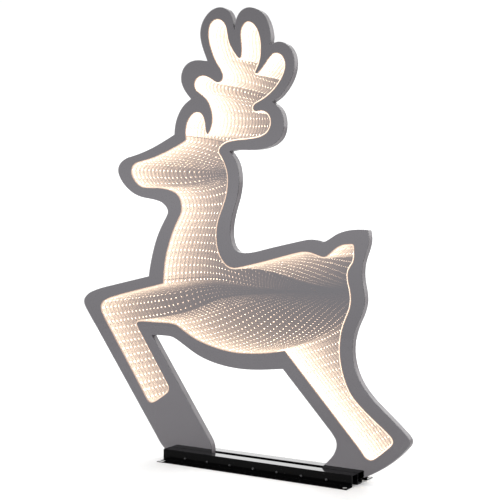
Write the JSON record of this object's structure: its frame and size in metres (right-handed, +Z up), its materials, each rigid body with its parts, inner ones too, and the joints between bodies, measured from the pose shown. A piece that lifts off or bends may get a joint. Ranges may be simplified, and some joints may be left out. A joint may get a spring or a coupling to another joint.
{
  "type": "lighted reindeer panel",
  "caption": "Flat two-sided mirror panel cut to a leaping reindeer's outline, lit by a strip of lights round its inner window, standing in the slot of a low metal base.",
  "frame": {"origin": "on the ground under the middle of the base's slot", "axes": "+X towards the tail, +Y from the front face to the rear face, +Z up"},
  "size_m": [0.7603, 0.111, 0.9071],
  "materials": {
    "mirror_sheet": "smoked half-mirror, mirror-smooth both faces",
    "bond_tape": "matt grey double-sided tape",
    "core_plastic": "satin charcoal, light saw marks on the cut edge",
    "base_black": "gloss black powder coat",
    "liner_rubber": "matt",
    "plated_steel": "bright zinc plate",
    "sleeve_steel": "drawn tube",
    "spacer_nylon": "black nylon",
    "socket_plastic": "moulded, fine grain",
    "contact_brass": "plated",
    "gasket_rubber": "silicone",
    "wire_red": "PVC insulation",
    "wire_black": "PVC insulation",
    "link_wire": "white PVC insulation",
    "strip_board": "white solder mask",
    "strip_gel": "clear silicone bead, lit from the side",
    "led_chip": "warm white light"
  },
  "bodies": {
    "root": {"front_mirror_sheet": "mirror_sheet", "rear_mirror_sheet": "mirror_sheet", "front_bond_tape": "bond_tape", "rear_bond_tape": "bond_tape", "core_frame": "core_plastic", "base_front_rail": "base_black", "base_rear_rail": "base_black", "slot_liner": "liner_rubber", "tie_screws": "plated_steel", "tie_nuts": "plated_steel", "front_rail_sleeves": "sleeve_steel", "rear_rail_sleeves": "sleeve_steel", "slot_spacers": "spacer_nylon", "power_socket_housing": "socket_plastic", "power_socket_pin": "contact_brass", "power_socket_gasket": "gasket_rubber", "feed_wire_positive": "wire_red", "feed_wire_negative": "wire_black", "strip_link_wires": "link_wire", "led_strip_antlers": "strip_board", "led_chips_antlers": "led_chip", "strip_gel_antlers": "strip_gel", "led_strip_back": "strip_board", "led_chips_back": "led_chip", "strip_gel_back": "strip_gel", "led_strip_rump": "strip_board", "led_chips_rump": "led_chip", "strip_gel_rump": "strip_gel", "led_strip_belly": "strip_board", "led_chips_belly": "led_chip", "strip_gel_belly": "strip_gel", "led_strip_front_leg": "strip_board", "led_chips_front_leg": "led_chip", "strip_gel_front_leg": "strip_gel", "led_strip_head": "strip_board", "led_chips_head": "led_chip", "strip_gel_head": "strip_gel", "front_seal_line": "strip_gel", "rear_seal_line": "strip_gel"}
  },
  "joints": []
}
